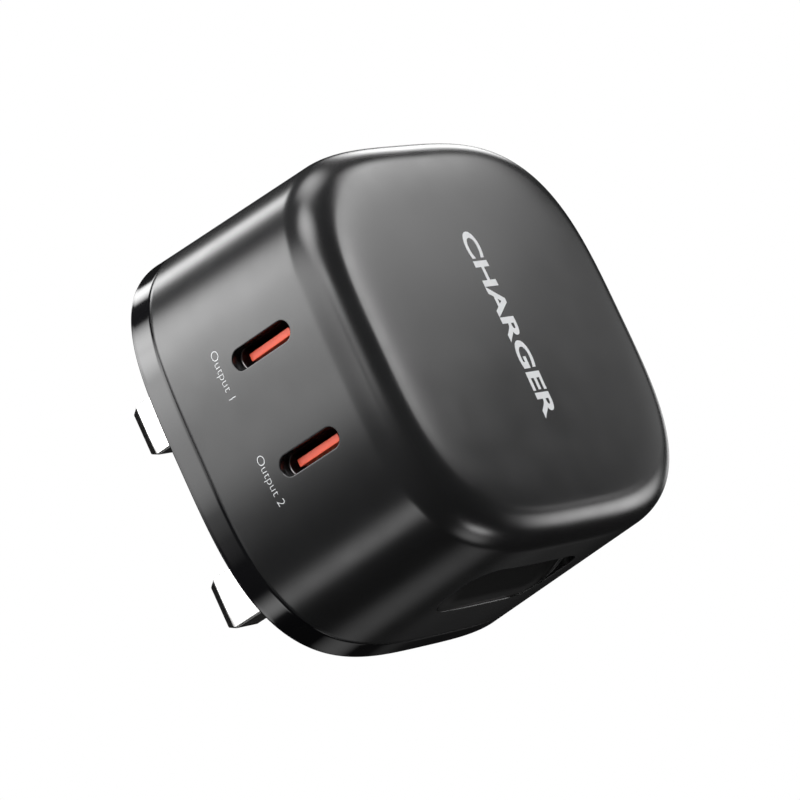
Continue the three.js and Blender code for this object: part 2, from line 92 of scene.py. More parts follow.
PORTS = {}
for number in (1, 2):
    low, high = node_box(f"usb_c_shell_{number}")
    PORTS[number] = {"low": low, "high": high, "x": (low[0] + high[0]) / 2, "y": (low[1] + high[1]) / 2}
PORT_LENGTH, PORT_WIDTH, PORT_LIP = 9.0, 2.6, 0.1
SHELL_WALL = 0.3
TONGUE_LENGTH, TONGUE_WIDTH, TONGUE_ROOT = 6.5, 0.9, -19.2
CONTACTS, CONTACT_PITCH = 12, 0.5
LEADING_CONTACTS = (0, 3, 8, 11)  # power and ground touch before the signals

LIVE_PIN_HALF = (6.35 / 2, 3.97 / 2)
EARTH_PIN_HALF = (3.97 / 2, 7.95 / 2)
PIN_NECK, NECK_END = 0.35, 9.5  # how far a live pin draws in under its sleeve, and the y where it ends
SLOT_GAP = 0.07  # play round each pin and sleeve in the cover

SUPPORT = 0.08  # how far outside a recess's edge its support ring lies
PORT_MARGIN, GRIP_MARGIN = 0.9, 0.8  # how far the window in the grid reaches past a recess
PORT_SIDE, GRIP_SIDE = 0.7, 0.88  # shares of half the size, past which a column is on that side
APPROACH = (0.25, 0.5, 0.72, 0.88)  # shares of the way from a window's loop to its outline
RING_POINTS = 72  # points round a receptacle and its tongue


# ---------- meshes ----------


class Skin:
    """Collects points and faces ring by ring."""

    def __init__(self):
        self.points = []
        self.faces = []
        self.paint = []

    def ring(self, points):
        """Adds points and gives their numbers."""
        start = len(self.points)
        self.points.extend([tuple(p) for p in points])
        return list(range(start, len(self.points)))

    def bridge(self, first, second, paint=0):
        """A band of faces between two closed rings with as many points each."""
        count = len(first)
        for i in range(count):
            j = (i + 1) % count
            self.face((first[i], first[j], second[j], second[i]), paint)

    def face(self, corners, paint=0):
        """One face; paint is the number of its material."""
        self.faces.append(tuple(corners))
        self.paint.append(paint)

    def fan(self, ring, centre):
        """Closes a ring with triangles that meet in a centre."""
        tip = self.ring([centre])[0]
        for i, corner in enumerate(ring):
            self.face((corner, ring[(i + 1) % len(ring)], tip))


def mesh_object(name, skin, materials):
    """A smooth-shaded object from a skin, its faces turned outwards."""
    mesh = bpy.data.meshes.new(name)
    mesh.from_pydata([tuple(c * MM for c in p) for p in skin.points], [], skin.faces)
    for material in materials:
        mesh.materials.append(material)
    mesh.polygons.foreach_set("material_index", skin.paint)
    work = bmesh.new()
    work.from_mesh(mesh)
    bmesh.ops.recalc_face_normals(work, faces=work.faces)
    work.to_mesh(mesh)
    work.free()
    mesh.shade_smooth()
    thing = bpy.data.objects.new(name, mesh)
    bpy.context.scene.collection.objects.link(thing)
    return thing


def even_normals(thing):
    """Large faces decide the normals, so that flats stay flat beside small rounded edges."""
    weighted = thing.modifiers.new("even_normals", "WEIGHTED_NORMAL")
    weighted.weight = 100
    weighted.keep_sharp = True


def place(piece, slot, *nodes):
    """Rides a piece on the charger in place of its CAD nodes."""
    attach(piece, "root")
    if nodes:
        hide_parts(*nodes)
    return piece


def rounded_outline(centre, half, radius):
    """A function of t in 0..1 that walks a rounded rectangle anticlockwise from the middle of its
    +u side, and gives the point and the outward normal there."""
    (cu, cv), (hu, hv) = centre, half
    radius = min(radius, hu, hv)
    sides = [hv - radius, 2 * (hu - radius), 2 * (hv - radius), 2 * (hu - radius), hv - radius]
    arc = math.pi / 2 * radius
    total = 4 * arc + 2 * sides[1] + 2 * sides[2]
    corners = [(hu - radius, hv - radius), (radius - hu, hv - radius),
               (radius - hu, radius - hv), (hu - radius, radius - hv)]
    starts = [(hu, 0), (hu - radius, hv), (-hu, hv - radius), (radius - hu, -hv), (hu, radius - hv)]

    def at(t):
        s = (t % 1.0) * total
        for k in range(5):
            heading = k * math.pi / 2
            out = (math.cos(heading), math.sin(heading))
            if s <= sides[k] or k == 4:
                return (cu + starts[k][0] - out[1] * s, cv + starts[k][1] + out[0] * s), out
            s -= sides[k]
            if s <= arc:
                angle = heading + s / radius
                out = (math.cos(angle), math.sin(angle))
                return (cu + corners[k][0] + radius * out[0], cv + corners[k][1] + radius * out[1]), out
            s -= arc

    return at


def corner_steps(half, radius):
    """Values of t that make rounded_outline put its points where the corners need them."""
    arc_points, side_points = 5, 3
    half_u, half_v = half
    radius = min(radius, half_u, half_v)
    arc = math.pi / 2 * radius
    straight_u, straight_v = half_u - radius, half_v - radius
    steps = []
    walked = 0.0
    stretches = (straight_v, 2 * straight_u, 2 * straight_v, 2 * straight_u, straight_v)
    for number, side in enumerate(stretches):
        steps += [walked + side * i / side_points for i in range(side_points)]
        walked += side
        if number < len(stretches) - 1:  # a corner lies between each stretch and the next
            steps += [walked + arc * i / arc_points for i in range(arc_points)]
            walked += arc
    return [step / walked for step in steps]


# ---------- the body's surface ----------


def outline_reach(angle, half_width, half_height):
    """How far from its middle the outline lies at an angle."""
    across = np.abs(np.cos(angle)) / half_width
    up = np.abs(np.sin(angle)) / half_height
    return (across**SQUARENESS + up**SQUARENESS) ** (-1 / SQUARENESS)


def even_angles(count):
    """Angles that step evenly along the outline, from the +X/+Z corner round."""
    fine = np.linspace(math.pi / 4, math.pi / 4 + 2 * math.pi, OUTLINE_SAMPLES + 1)
    reach = outline_reach(fine, HALF_WIDTH, HALF_HEIGHT)
    x, z = reach * np.cos(fine), reach * np.sin(fine)
    walked = np.concatenate([[0], np.cumsum(np.hypot(np.diff(x), np.diff(z)))])
    return np.interp(np.arange(count) / count * walked[-1], walked, fine)


ANGLES = even_angles(COLUMNS)


def lean(y):
    """How far the sides have come in at depth y."""
    return DRAFT * -y / DEPTH


def outline_row(inset, y):
    """One ring of the body: the rear outline brought in by inset, at depth y."""
    reach = outline_reach(ANGLES, HALF_WIDTH - inset, HALF_HEIGHT - inset)
    return np.column_stack([reach * np.cos(ANGLES), np.full(COLUMNS, y), reach * np.sin(ANGLES)])


def underside(x, y, depth=0.0):
    """A point on the port side, sunk by depth."""
    inset = lean(y)
    fall = max(0.0, 1 - abs(x / (HALF_WIDTH - inset)) ** SQUARENESS) ** (1 / SQUARENESS)
    return (x, y, -(HALF_HEIGHT - inset) * fall + depth)


def flank(side, y, z, depth=0.0):
    """A point on the +X or -X side, sunk by depth."""
    inset = lean(y)
    fall = max(0.0, 1 - abs(z / (HALF_HEIGHT - inset)) ** SQUARENESS) ** (1 / SQUARENESS)
    return (side * ((HALF_WIDTH - inset) * fall - depth), y, z)


def face_front(x, z, lift=0.0):
    """A point on the front, raised by lift. The front is crowned and falls away softly at its rim."""
    across = (abs(x) / (HALF_WIDTH - FACE_INSET)) ** SQUARENESS
    across += (abs(z) / (HALF_HEIGHT - FACE_INSET)) ** SQUARENESS
    share = min(1.0, across ** (1 / SQUARENESS))
    return (x, -DEPTH - CROWN * (1 - share**2) ** 2 + SHOULDER * share**SHOULDER_POWER - lift, z)


# ---------- front shell ----------


def pick(values, low, high):
    """First and last index of the run of values that just holds low..high."""
    inside = [i for i, v in enumerate(values) if low <= v <= high]
    return inside[0] - 1, inside[-1] + 1


def loop_shares(points):
    """How far round each point of a closed anticlockwise loop lies, as a share of its length, from
    where the loop crosses the +u axis of its own middle."""
    points = np.array(points)
    middle = (points.max(0) + points.min(0)) / 2
    steps = np.linalg.norm(np.roll(points, -1, 0) - points, axis=1)
    walked = np.concatenate([[0], np.cumsum(steps)])
    for i, (a, b) in enumerate(zip(points, np.roll(points, -1, 0))):
        if a[0] > middle[0] and a[1] <= middle[1] < b[1]:
            start = walked[i] + steps[i] * (middle[1] - a[1]) / (b[1] - a[1])
            return ((walked[:-1] - start) / walked[-1]) % 1.0
    raise ValueError("the loop runs clockwise")


def window_rings(skin, loop, flat, outline, lift, steps, paint=0):
    """Fills a window in the grid with rings that go from its loop to the outline and then over the
    steps (offset outwards, depth). What lies inside the outline gets the paint. Gives the last ring."""
    here = [flat(skin.points[i]) for i in loop]
    shares = loop_shares(here)
    reach = steps[0][0]
    edge = [outline(t) for t in shares]
    last = loop
    for part in APPROACH:
        ring = []
        for (u, v), ((ou, ov), (nu, nv)) in zip(here, edge):
            tu, tv = ou + nu * reach, ov + nv * reach
            ring.append(lift(u + (tu - u) * part, v + (tv - v) * part, 0.0))
        ring = skin.ring(ring)
        skin.bridge(last, ring)
        last = ring
    for offset, depth in steps:
        ring = []
        for (ou, ov), (nu, nv) in edge:
            u, v = ou + nu * offset, ov + nv * offset
            ring.append(lift(u, v, depth(u, v) if callable(depth) else depth))
        ring = skin.ring(ring)
        skin.bridge(last, ring, paint if offset < 0 else 0)
        last = ring
    return last


def lip(radius):
    """Steps over a rounded outer edge of a recess, with a support ring just outside it."""
    angles = np.linspace(0, math.pi / 2, 5)
    steps = [(radius * (1 - math.sin(angle)), radius * (1 - math.cos(angle))) for angle in angles]
    return [(radius + SUPPORT, 0.0)] + steps


def grip_floor(y, curve=1.0):
    """How far from the middle plane the finger grip's floor lies at depth y. A curve above 1 makes
    the slope start gently at the back and steepen towards the front."""
    share = ((GRIP_BACK - y) / (GRIP_BACK - GRIP_FRONT)) ** curve if y < GRIP_BACK else 0.0
    bottom = (HALF_WIDTH - lean(GRIP_BACK) - GRIP_SHALLOW) * (1 - share)
    bottom += (HALF_WIDTH - lean(GRIP_FRONT) - GRIP_DEEP) * share
    return bottom


def grip_steps(side):
    """Steps over the grip's edge, down its wall and out onto its sloping floor."""
    largest_share = 0.45  # of the wall's height, for the edge and for the corner at the floor
    across_floor = (-0.5, -1.2, -2.6)

    def to_floor(z, y):
        return abs(flank(side, y, z)[0]) - grip_floor(y, GRIP_CURVE)

    def over_edge(angle):
        return lambda z, y: min(GRIP_LIP, to_floor(z, y) * largest_share) * (1 - math.cos(angle))

    def into_floor(angle):
        def depth(z, y):
            wall = to_floor(z, y)
            return wall - min(GRIP_HOLLOW, wall * largest_share) * (1 - math.sin(angle))
        return depth

    angles = np.linspace(0, math.pi / 2, 5)
    steps = [(GRIP_LIP + SUPPORT, 0.0)]
    steps += [(GRIP_LIP * (1 - math.sin(angle)), over_edge(angle)) for angle in angles]
    steps += [(-GRIP_HOLLOW * (1 - math.cos(angle)), into_floor(angle)) for angle in angles]
    return steps + [(offset, to_floor) for offset in across_floor]


def shell_rows():
    """The closed shell's profile as (inset, y) rows, front centre to back edge and in again. On the
    front, y is None and a share of the face's outline stands in for the inset. Also the row numbers
    of the straight outer and inner sides."""
    edge = 0.015  # the seam's tiny bevel
    inner_corner = 0.7
    rows = [(share, None) for share in np.linspace(0.04, 0.8, 18)]
    rows += [(share, None) for share in np.linspace(0.82, 0.98, 9)]
    for angle in np.linspace(math.pi / 2 - SHOULDER_TILT, 0, 32):
        y = SIDE_FRONT - FILLET_RADIUS * math.sin(angle)
        rows.append((lean(y) + FILLET_RADIUS * (1 - math.cos(angle)), y))
    outer_start = len(rows)
    side = np.linspace(SIDE_FRONT + 0.4, SEAM_Y - edge, 50)
    rows += [(lean(y), y) for y in side]
    outer = (outer_start, len(rows) - 1)
    rows += [(lean(SEAM_Y) + edge * 0.3, SEAM_Y - edge * 0.3), (lean(SEAM_Y) + edge, SEAM_Y)]
    rows += [(lean(SEAM_Y) + WALL, SEAM_Y)]
    inner_start = len(rows)
    rows += [(lean(y) + WALL, y) for y in side[::-1]]
    inner = (inner_start, len(rows) - 1)
    rows += [(DRAFT + WALL + inner_corner, -(DEPTH - WALL - inner_corner))]
    rows += [(FACE_INSET, -(DEPTH - WALL))]
    return rows, outer, inner


def grip_bulge(points):
    """Moves the shell's inner wall in behind the finger grips, with soft ends."""
    ease_z, ease_y = 1.6, 1.0
    past_z, past_y = 3.0, 2.6
    out = []
    for x, y, z in points:
        within = min(1.0, max(0.0, (GRIP_HALF + past_z - abs(z - GRIP_Z)) / ease_z))
        within *= min(1.0, max(0.0, (y - GRIP_FRONT + past_y) / ease_y))
        behind = grip_floor(min(GRIP_BACK, max(GRIP_FRONT, y))) - GRIP_WALL
        limit = behind if y < GRIP_BACK else HALF_WIDTH
        pulled = min(abs(x), limit) * within + abs(x) * (1 - within)
        out.append((math.copysign(pulled, x), y, z))
    return out


class ShellGrid:
    """The front shell as a grid of rows and columns, from which windows are cut."""

    def __init__(self):
        self.skin = Skin()
        rows, self.outer, self.inner = shell_rows()
        rings = []
        for number, (inset, y) in enumerate(rows):
            if y is None:
                points = [face_front(x, z) for x, _, z in outline_row(FACE_INSET, 0) * inset]
            else:
                points = outline_row(inset, y)
                if self.inner[0] <= number <= self.inner[1]:
                    points = grip_bulge(points)
            rings.append(self.skin.ring(points))
        self.grid = np.array(rings)
        self.cut_out = np.zeros(self.grid.shape, bool)
        places = np.array(self.skin.points)
        self.depths = [places[self.grid[r, 0], 1] for r in range(*self.outer)]
        self.girth = places[self.grid[(self.outer[0] + self.outer[1]) // 2]]  # round the middle

    def columns(self, candidates, positions, low, high):
        """The columns, out of a run of candidates, that just hold positions low..high."""
        first, last = pick(positions[candidates], low, high)
        return int(candidates[0] + first), int(candidates[0] + last)

    def cut(self, row_range, column_range, flat):
        """Cuts a window and gives its loop, anticlockwise in the window's own plane."""
        (r0, r1), (c0, c1) = row_range, column_range
        self.cut_out[r0:r1, c0:c1] = True
        top = [self.grid[r0, c] for c in range(c0, c1)]
        right = [self.grid[r, c1] for r in range(r0, r1)]
        bottom = [self.grid[r1, c] for c in range(c1, c0, -1)]
        left = [self.grid[r, c0] for r in range(r1, r0, -1)]
        loop = [int(i) for i in top + right + bottom + left]
        here = np.array([flat(self.skin.points[i]) for i in loop])
        after = np.roll(here, -1, 0)
        area = (here[:, 0] * after[:, 1] - after[:, 0] * here[:, 1]).sum()
        return loop if area > 0 else loop[::-1]

    def close(self):
        """Adds the faces that no window took, and a cap at each end."""
        grid = self.grid
        for r in range(len(grid) - 1):
            for c in range(COLUMNS):
                if not self.cut_out[r, c]:
                    d = (c + 1) % COLUMNS
                    corners = (grid[r, c], grid[r, d], grid[r + 1, d], grid[r + 1, c])
                    self.skin.face([int(i) for i in corners])
        self.skin.fan([int(i) for i in grid[0]], face_front(0, 0))
        self.skin.fan([int(i) for i in grid[-1]], (0, -(DEPTH - WALL), 0))


def port_window(shell, port):
    """Cuts a port's mouth through the wall. It is wider from where the receptacle begins."""
    skin = shell.skin
    edge_depth, widening, seat_gap, end_gap = 0.4, 0.3, 0.02, 0.05
    half = (PORT_WIDTH / 2 - PORT_LIP, PORT_LENGTH / 2 - PORT_LIP)
    outline = rounded_outline((port["x"], port["y"]), half, half[0])
    reach = (half[0] + PORT_MARGIN, half[1] + PORT_MARGIN)

    def flat(point):
        return point[0], point[1]

    def to_seat(x, y):
        return port["low"][2] - seat_gap - underside(x, y)[2]

    def inner_side(x, y, depth):
        return underside(x, y, depth + WALL)

    r0, r1 = pick(shell.depths, port["y"] - reach[1], port["y"] + reach[1])
    below = np.where(shell.girth[:, 2] < -HALF_HEIGHT * PORT_SIDE)[0]
    columns = shell.columns(below, shell.girth[:, 0], port["x"] - reach[0], port["x"] + reach[0])
    steps = lip(PORT_LIP) + [(0.0, edge_depth), (0.0, to_seat), (widening, to_seat)]
    steps += [(widening, WALL - end_gap)]
    loop = shell.cut((shell.outer[0] + r0, shell.outer[0] + r1), columns, flat)
    last = window_rings(skin, loop, flat, outline, underside, steps)
    loop = shell.cut((shell.inner[1] - r1, shell.inner[1] - r0), columns, flat)
    inner_steps = [(widening + 0.2, 0.0), (widening, 0.0)]
    last_in = window_rings(skin, loop, flat, outline, inner_side, inner_steps)
    start = skin.points[last[0]]
    nearest = int(np.argmin([np.linalg.norm(np.subtract(start, skin.points[i])[:2]) for i in last_in]))
    skin.bridge(last, last_in[nearest:] + last_in[:nearest])


def grip_window(shell, side):
    """Sinks the finger grip into the +X or -X side."""
    # The grip's floor and the hollow at its foot get the darker material: painted shade for the shadow of
    # the grip's edge.
    painted_shade_slot = 1
    half = (GRIP_HALF, (GRIP_BACK - GRIP_FRONT) / 2)
    outline = rounded_outline((GRIP_Z, (GRIP_BACK + GRIP_FRONT) / 2), half, GRIP_CORNER)

    def flat(point):
        return point[2], point[1]

    def on_flank(z, y, depth):
        return flank(side, y, z, depth)

    r0, r1 = pick(shell.depths, GRIP_FRONT - GRIP_MARGIN, GRIP_BACK + GRIP_MARGIN)
    beside = np.where(side * shell.girth[:, 0] > HALF_WIDTH * GRIP_SIDE)[0]
    ends = sorted(side * (GRIP_Z + end * (GRIP_HALF + GRIP_MARGIN)) for end in (-1, 1))
    columns = shell.columns(beside, shell.girth[:, 2] * side, *ends)
    loop = shell.cut((shell.outer[0] + r0, shell.outer[0] + r1), columns, flat)
    last = window_rings(shell.skin, loop, flat, outline, on_flank, grip_steps(side), painted_shade_slot)
    shell.skin.face(last, painted_shade_slot)


def front_shell(material, painted_shade_floor):
    """The satin case with its two ports and two finger grips, whose floors take a darker material as
    painted shade.
    """
    shell = ShellGrid()
    for port in PORTS.values():
        port_window(shell, port)
    for side in (1, -1):
        grip_window(shell, side)
    shell.close()
    case = mesh_object("front_shell", shell.skin, [material, painted_shade_floor])
    even_normals(case)
    return place(case, "shell", "front_case")


# ---------- rear cover ----------


def rear_cover(gloss, panel):
    """The glossy rim with the rear panel, whose skirt reaches into the front shell. The rows are
    (inset, y, paint), where paint 1 is the panel's plastic."""
    rim_edge = 0.2
    seam_gap, seam_bevel = 0.004, 0.01
    skirt_gap, skirt_wall, skirt_root = 0.13, 1.0, -3.2
    skirt = lean(skirt_root) + WALL + skirt_gap
    plate_y = -2.2  # the inner face of the plate that holds the pins
    step = 2.5  # inset of the rounded step from the rim down to the panel
    rows = [(skirt + skirt_wall, plate_y, 1), (skirt + skirt_wall, COVER_LOW[1], 1)]
    rows += [(skirt, COVER_LOW[1], 0), (skirt, SEAM_Y + seam_gap, 0)]
    rows += [(lean(SEAM_Y) + seam_bevel, SEAM_Y + seam_gap, 0), (lean(SEAM_Y), SEAM_Y + 0.02, 0)]
    rows += [(lean(y), y, 0) for y in np.linspace(SEAM_Y + 0.4, -rim_edge - 0.1, 8)]
    for angle in np.linspace(0, math.pi / 2, 7):
        rows.append((rim_edge * (1 - math.cos(angle)), -rim_edge * (1 - math.sin(angle)), 0))
    rows += [(0.6, 0.0, 0), (step, 0.0, 0), (step + 0.12, -0.04, 0), (step + 0.16, -0.12, 0)]
    rows += [(step + 0.22, -0.18, 1), (step + 0.4, -0.2, 1)]
    skin = Skin()
    rings = [skin.ring(outline_row(inset, y)) for inset, y, _ in rows]
    for first, second, (_, _, paint) in zip(rings, rings[1:], rows[1:]):
        skin.bridge(first, second, paint)
    skin.face(rings[0], 1)
    skin.face(rings[-1], 1)
    cover = mesh_object("rear_cover_rim", skin, [gloss, panel])
    for node in ("line_pin_sleeve", "neutral_pin_sleeve", "earth_pin"):
        low, high = node_box(node)
        if node == "earth_pin":
            low[0], high[0] = -EARTH_PIN_HALF[0], EARTH_PIN_HALF[0]
        middle = ((low[0] + high[0]) / 2, (low[2] + high[2]) / 2)
        half = ((high[0] - low[0]) / 2 + SLOT_GAP, (high[2] - low[2]) / 2 + SLOT_GAP)
        cut_slot(cover, rounded_outline(middle, half, 0.35))
    even_normals(cover)
    return place(cover, "gloss_rim", "rear_cover")


def cut_slot(thing, outline):
    """Cuts a straight slot along Y through the thing's rear wall."""
    count = 48
    reach = (-3.0, 1.0)
    skin = Skin()
    rings = []
    for y in reach:
        points = (outline(i / count)[0] for i in range(count))
        rings.append(skin.ring([(u, y, v) for u, v in points]))
    skin.bridge(*rings)
    skin.face(rings[0])
    skin.face(rings[1])
    cutter = mesh_object("slot_cutter", skin, [])
    cut = thing.modifiers.new("slot", "BOOLEAN")
    cut.object = cutter
    cut.solver = "EXACT"
    apply_modifiers(thing)
    bpy.data.objects.remove(cutter)


def apply_modifiers(thing):
    """Puts the evaluated mesh in place of the thing's own."""
    bpy.context.view_layer.update()
    graph = bpy.context.evaluated_depsgraph_get()
    mesh = bpy.data.meshes.new_from_object(thing.evaluated_get(graph))
    old = thing.data
    thing.modifiers.clear()
    thing.data = mesh
    bpy.data.meshes.remove(old)


# ---------- plug pins ----------


def stack(skin, x, z, sections, closed=True):
    """Rings of rounded rectangles along Y: each section is (half width, half height, radius, y)."""
    rings = []
    for half_width, half_height, radius, y in sections:
        outline = rounded_outline((x, z), (half_width, half_height), radius)
        steps = corner_steps((half_width, half_height), radius)
        rings.append(skin.ring([(u, y, v) for (u, v), _ in (outline(t) for t in steps)]))
    for first, second in zip(rings, rings[1:]):
        skin.bridge(first, second)
    if closed:
        skin.face(rings[0])
        skin.face(rings[-1])
    return rings


def blade(name, node, material, slot, neck):
    """A plug pin with rounded long edges and a bevelled tip. It is thinner by neck under its sleeve."""
    low, high = node_box(node)
    middle = (low[0] + high[0]) / 2, (low[2] + high[2]) / 2
    w, h = EARTH_PIN_HALF if node == "earth_pin" else LIVE_PIN_HALF
    tip, neck_end = high[1], NECK_END
    edge = 0.22
    sections = [(w - neck, h - neck, edge, y) for y in (low[1], neck_end - 0.02)]
    sections += [(w - 0.05, h - 0.05, edge, neck_end), (w, h, edge, neck_end + 0.06)]
    sections += [(w, h, edge, y) for y in np.linspace(neck_end + 1, tip - 1.35, 4)]
    # each bevel row: how far in on the two sides, the share of the edge's radius, and the distance
    # from the tip
    bevel = [(0, 0, 1, 1.24), (0.05, 0, 1, 1.12), (0.13, 0, 1, 0.98), (0.17, 0.03, 1, 0.88),
             (0.55, 0.27, 0.8, 0.1), (0.6, 0.33, 0.7, 0.03), (0.7, 0.43, 0.6, 0), (1.0, 0.7, 0.4, 0)]
    sections += [(w - in_w, h - in_h, edge * share, tip - rest) for in_w, in_h, share, rest in bevel]
    skin = Skin()
    stack(skin, *middle, sections)
    pin = mesh_object(name, skin, [material])
    even_normals(pin)
    return place(pin, slot, node)


def sleeve(name, node, material):
    """The insulating tube round the root of a live pin, with a rounded end."""
    low, high = node_box(node)
    middle = (low[0] + high[0]) / 2, (low[2] + high[2]) / 2
    w, h = (high[0] - low[0]) / 2, (high[2] - low[2]) / 2
    start, end = low[1], high[1]
    wall = 0.33
    profile = [(0, 0.25, start), (0, 0.25, end - 0.15), (0.04, 0.25, end - 0.04), (0.12, 0.2, end),
               (wall, 0.2, end), (wall, 0.2, start)]
    skin = Skin()
    sections = [(w - inset, h - inset, radius, y) for inset, radius, y in profile]
    rings = stack(skin, *middle, sections, closed=False)
    skin.bridge(rings[-1], rings[0])
    piece = mesh_object(name, skin, [material])
    even_normals(piece)
    return place(piece, "black_plastic", node)


# ---------- USB-C receptacles ----------


def level_ring(skin, outline, z):
    """A ring of the outline's points at height z."""
    points = (outline(i / RING_POINTS)[0] for i in range(RING_POINTS))
    return skin.ring([(u, v, z) for u, v in points])


def upright(skin, x, y, sections):
    """Rings of stadiums along Z: each section is (half width, half length, z)."""
    rings = []
    for half_width, half_length, z in sections:
        outline = rounded_outline((x, y), (half_width, half_length), half_width)
        rings.append(level_ring(skin, outline, z))
    for first, second in zip(rings, rings[1:]):
        skin.bridge(first, second)
    return rings


def usb_shell(number, steel):
    """The receptacle's drawn tube, with a rolled front edge."""
    port = PORTS[number]
    (x0, y0, z0), (x1, y1, z1) = port["low"], port["high"]
    w, h = (x1 - x0) / 2, (y1 - y0) / 2
    wall = SHELL_WALL
    profile = [(0, z1), (0, z0 + 0.1), (0.04, z0 + 0.03), (0.1, z0), (wall - 0.1, z0),
               (wall - 0.03, z0 + 0.04), (wall, z0 + 0.14), (wall, z0 + 2), (wall, z1)]
    skin = Skin()
    rings = upright(skin, port["x"], port["y"], [(w - inset, h - inset, z) for inset, z in profile])
    skin.bridge(rings[-1], rings[0])
    shell = mesh_object(f"usb_c_shell_{number}_drawn", skin, [steel])
    even_normals(shell)
    return place(shell, "steel", f"usb_c_shell_{number}")


def usb_tongue(number, plastic):
    """The tongue stands on a base block that closes the shell behind it."""
    port = PORTS[number]
    low, high = node_box(f"usb_c_tongue_{number}")
    base_w, base_h = (high[0] - low[0]) / 2, (high[1] - low[1]) / 2
    w, h, tip = TONGUE_WIDTH / 2, TONGUE_LENGTH / 2, low[2]
    skin = Skin()
    base = [(base_w, base_h, high[2]), (base_w, base_h, TONGUE_ROOT)]
    rings = upright(skin, port["x"], port["y"], base)
    skin.face(rings[0])
    # each row: how far out past the blade across and along, the height and the corners' radius
    profile = [(0.22, 0.35, TONGUE_ROOT, 0.3), (0.2, 0.3, TONGUE_ROOT - 0.7, 0.3),
               (0.03, 0.05, TONGUE_ROOT - 0.85, 0.1), (0, 0, TONGUE_ROOT - 0.95, 0.08),
               (0, 0, tip + 0.05, 0.08), (-0.015, -0.015, tip + 0.015, 0.08),
               (-0.05, -0.05, tip, 0.06), (-0.2, -0.2, tip, 0.04)]
    last = rings[-1]
    for out_w, out_h, z, radius in profile:
        outline = rounded_outline((port["x"], port["y"]), (w + out_w, h + out_h), radius)
        ring = level_ring(skin, outline, z)
        skin.bridge(last, ring)
        last = ring
    skin.face(last)
    tongue = mesh_object(f"usb_c_tongue_{number}_moulded", skin, [plastic])
    even_normals(tongue)
    return place(tongue, "orange_insulator", f"usb_c_tongue_{number}")


def usb_contacts(number, gold):
    """Twelve flat contacts let into each broad face of the tongue."""
    port = PORTS[number]
    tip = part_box(f"usb_c_tongue_{number}")[0][2] / MM
    end = TONGUE_ROOT + 0.2
    skin = Skin()
    for face in (-1, 1):
        for i in range(CONTACTS):
            y = port["y"] + (i - (CONTACTS - 1) / 2) * CONTACT_PITCH
            start = tip + (0.9 if i in LEADING_CONTACTS else 1.15)
            rings = []
            for height, half, z in ((-0.08, 0.13, start), (0.012, 0.12, start + 0.03)):
                x = port["x"] + face * (TONGUE_WIDTH / 2 + height)
                rings.append(skin.ring([(x, y - half, z), (x, y + half, z),
                                        (x, y + half, end), (x, y - half, end)]))
            skin.bridge(*rings)
            skin.face(rings[0])
            skin.face(rings[1])
    contacts = mesh_object(f"usb_c_contacts_{number}_plated", skin, [gold])
    contacts.data.shade_flat()
    return place(contacts, "gold", f"usb_c_contacts_{number}")


# ---------- materials ----------


class Look:
    """A procedural material: a Principled shader and helpers for what varies over the surface."""

    def __init__(self, name, color, roughness, metallic=0.0):
        self.material = bpy.data.materials.new(name)
        self.material.use_nodes = True
        self.nodes = self.material.node_tree.nodes
        self.links = self.material.node_tree.links
        self.shader = self.nodes["Principled BSDF"]
        self.color = color
        self.roughness = roughness
        self.set("Base Color", (*color, 1))
        self.set("Roughness", roughness)
        self.set("Metallic", metallic)

    def set(self, socket, value):
        """Gives the shader a constant."""
        self.shader.inputs[socket].default_value = value

    def add(self, kind, **values):
        """A new node, with values for its inputs or its settings."""
        node = self.nodes.new(kind)
        for key, value in values.items():
            if key in node.inputs:
                node.inputs[key].default_value = value
            else:
                setattr(node, key, value)
        return node

    def where(self, stretch):
        """Object coordinates, stretched."""
        place_node = self.add("ShaderNodeTexCoord")
        mapping = self.add("ShaderNodeMapping")
        mapping.inputs["Scale"].default_value = stretch
        self.links.new(place_node.outputs["Object"], mapping.inputs["Vector"])
        return mapping.outputs["Vector"]

    def noise(self, size, detail=3.0, stretch=(1, 1, 1)):
        """Noise whose features are about size metres across."""
        node = self.add("ShaderNodeTexNoise", Scale=1 / size, Detail=detail)
        self.links.new(self.where(stretch), node.inputs["Vector"])
        return node.outputs["Fac"]

    def spread(self, source, low, high):
        """Noise, which mostly lies within 0.3..0.7, spread over low..high."""
        ends = {"From Min": 0.3, "From Max": 0.7, "To Min": low, "To Max": high}
        node = self.add("ShaderNodeMapRange", **ends)
        self.links.new(source, node.inputs["Value"])
        return node.outputs["Result"]

    def vary_roughness(self, source, amount):
        """Roughness that wanders by the amount either way."""
        out = self.spread(source, self.roughness - amount, self.roughness + amount)
        self.links.new(out, self.shader.inputs["Roughness"])
        return self

    def vary_color(self, source, other):
        """Colour that wanders from the look's own to another."""
        color_a, color_b, color_result = 6, 7, 2  # by number, since other sockets share their names
        mix = self.add("ShaderNodeMix", data_type="RGBA")
        mix.inputs[color_a].default_value = (*self.color, 1)
        mix.inputs[color_b].default_value = (*other, 1)
        self.links.new(self.spread(source, 0.0, 1.0), mix.inputs["Factor"])
        self.links.new(mix.outputs[color_result], self.shader.inputs["Base Color"])
        return self

    def bump(self, source, height):
        """Relief of the given height in metres."""
        node = self.add("ShaderNodeBump", Distance=height)
        self.links.new(source, node.inputs["Height"])
        self.links.new(node.outputs["Normal"], self.shader.inputs["Normal"])
        return self


def moulded(name, color, roughness, grain=0.00012, height=0.000004):
    """Moulded plastic with a fine grain."""
    look = Look(name, color, roughness)
    look.vary_roughness(look.noise(0.004), 0.02)
    look.vary_color(look.noise(0.02, 1.0), tuple(c * 1.12 for c in color))
    return look.bump(look.noise(grain, 2.0), height).material


